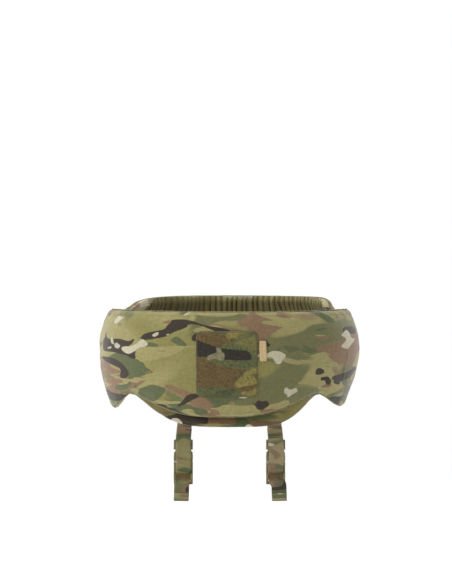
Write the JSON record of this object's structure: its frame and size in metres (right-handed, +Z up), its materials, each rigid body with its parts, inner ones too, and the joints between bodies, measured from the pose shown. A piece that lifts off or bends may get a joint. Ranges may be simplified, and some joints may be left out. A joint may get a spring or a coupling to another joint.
{
  "type": "ballistic neck protector",
  "caption": "Padded ballistic neck protector: curved front and rear collar panels that close at the sides, a bib below, and quick-release loop straps to hang it from a vest",
  "frame": {"origin": "middle of the neck opening, at the height of the front top edge", "axes": "+Z up along the wearer's neck, the front panel and its patch field face -Y, +X to the right of a viewer in front"},
  "size_m": [0.3588, 0.2603, 0.2672],
  "materials": {
    "front_cover": "woven nylon cloth, camouflage",
    "front_ballistic_pack": "sealed black pack cloth",
    "front_lining": "plain olive-brown lining cloth",
    "front_edge_binding": "dark woven tape",
    "bib_seam_tape": "dark woven tape",
    "patch_field": "loop pile, camouflage",
    "side_tab": "plain tan tape",
    "left_wing_hook_strip": "hook tape",
    "right_wing_hook_strip": "hook tape",
    "left_closure_lap": "woven nylon cloth, camouflage",
    "left_lap_loop_strip": "loop tape",
    "rear_cover": "woven nylon cloth, camouflage",
    "rear_ballistic_pack": "sealed black pack cloth",
    "rear_lining": "pleated olive-brown lining cloth",
    "rear_edge_binding": "dark woven tape",
    "right_lap_loop_strip": "loop tape",
    "bib_cover": "woven nylon cloth, camouflage",
    "bib_ballistic_pack": "sealed black pack cloth",
    "bib_lining": "plain olive-brown lining cloth",
    "left_strap_anchor": "woven webbing",
    "right_strap_anchor": "woven webbing",
    "left_carrier_web": "woven webbing",
    "left_loop_web": "woven webbing",
    "left_buckle_socket": "moulded, matt",
    "right_carrier_web": "woven webbing",
    "right_loop_web": "woven webbing",
    "right_buckle_socket": "moulded, matt",
    "left_buckle_clip": "moulded, matt",
    "left_grip_bar": "moulded, ribbed",
    "right_buckle_clip": "moulded, matt",
    "right_grip_bar": "moulded, ribbed",
    "left_clip_latch_outer": "moulded, matt",
    "left_clip_latch_inner": "moulded, matt",
    "right_clip_latch_outer": "moulded, matt",
    "right_clip_latch_inner": "moulded, matt"
  },
  "bodies": {
    "front": {"front_cover": "front_cover", "front_ballistic_pack": "front_ballistic_pack", "front_lining": "front_lining", "front_edge_binding": "front_edge_binding", "bib_seam_tape": "bib_seam_tape", "patch_field": "patch_field", "side_tab": "side_tab", "left_wing_hook_strip": "left_wing_hook_strip", "right_wing_hook_strip": "right_wing_hook_strip", "left_closure_lap": "left_closure_lap", "left_lap_loop_strip": "left_lap_loop_strip"},
    "rear": {"rear_cover": "rear_cover", "rear_ballistic_pack": "rear_ballistic_pack", "rear_lining": "rear_lining", "rear_edge_binding": "rear_edge_binding", "right_lap_loop_strip": "right_lap_loop_strip"},
    "bib": {"bib_cover": "bib_cover", "bib_ballistic_pack": "bib_ballistic_pack", "bib_lining": "bib_lining", "left_strap_anchor": "left_strap_anchor", "right_strap_anchor": "right_strap_anchor"},
    "left_strap": {"left_carrier_web": "left_carrier_web", "left_loop_web": "left_loop_web", "left_buckle_socket": "left_buckle_socket"},
    "right_strap": {"right_carrier_web": "right_carrier_web", "right_loop_web": "right_loop_web", "right_buckle_socket": "right_buckle_socket"},
    "left_clip": {"left_buckle_clip": "left_buckle_clip", "left_grip_bar": "left_grip_bar"},
    "right_clip": {"right_buckle_clip": "right_buckle_clip", "right_grip_bar": "right_grip_bar"},
    "left_latch_outer": {"left_clip_latch_outer": "left_clip_latch_outer"},
    "left_latch_inner": {"left_clip_latch_inner": "left_clip_latch_inner"},
    "right_latch_outer": {"right_clip_latch_outer": "right_clip_latch_outer"},
    "right_latch_inner": {"right_clip_latch_inner": "right_clip_latch_inner"}
  },
  "joints": [
    {"name": "collar_open", "type": "hinge", "parent": "front", "child": "rear", "pos_m": [-0.1645, 0.0145, -0.05], "axis": [0, 0, 1], "range_deg": [0, 75]},
    {"name": "bib_fold", "type": "hinge", "parent": "front", "child": "bib", "pos_m": [0, -0.088, -0.094], "axis": [1, 0, 0], "range_deg": [0, 20]},
    {"name": "left_strap_swing", "type": "hinge", "parent": "bib", "child": "left_strap", "pos_m": [-0.0617, -0.09406, -0.1565], "axis": [1, 0, 0], "range_deg": [-45, 25]},
    {"name": "right_strap_swing", "type": "hinge", "parent": "bib", "child": "right_strap", "pos_m": [0.0617, -0.09406, -0.1565], "axis": [1, 0, 0], "range_deg": [-45, 25]},
    {"name": "left_clip_release", "type": "slide", "parent": "left_strap", "child": "left_clip", "axis": [0, 0, -1], "range_m": [0, 0.018], "deforming": ["left_clip_latch_outer", "left_clip_latch_inner"]},
    {"name": "right_clip_release", "type": "slide", "parent": "right_strap", "child": "right_clip", "axis": [0, 0, -1], "range_m": [0, 0.018], "deforming": ["right_clip_latch_outer", "right_clip_latch_inner"]},
    {"name": "left_latch_outer_squeeze", "type": "hinge", "parent": "left_clip", "child": "left_latch_outer", "pos_m": [-0.0703, -0.09011, -0.2038], "axis": [0, 1, 0], "range_deg": [0, 12], "stiffness_Nm_per_rad": 0.01},
    {"name": "left_latch_inner_squeeze", "type": "hinge", "parent": "left_clip", "child": "left_latch_inner", "pos_m": [-0.0531, -0.09011, -0.2038], "axis": [0, -1, 0], "range_deg": [0, 12], "stiffness_Nm_per_rad": 0.01},
    {"name": "right_latch_outer_squeeze", "type": "hinge", "parent": "right_clip", "child": "right_latch_outer", "pos_m": [0.0703, -0.09011, -0.2038], "axis": [0, -1, 0], "range_deg": [0, 12], "stiffness_Nm_per_rad": 0.01},
    {"name": "right_latch_inner_squeeze", "type": "hinge", "parent": "right_clip", "child": "right_latch_inner", "pos_m": [0.0531, -0.09011, -0.2038], "axis": [0, 1, 0], "range_deg": [0, 12], "stiffness_Nm_per_rad": 0.01}
  ],
  "couplings": [
    {"joint": "left_latch_inner_squeeze", "follows": "left_latch_outer_squeeze", "ratio": 1},
    {"joint": "right_latch_inner_squeeze", "follows": "right_latch_outer_squeeze", "ratio": 1}
  ]
}
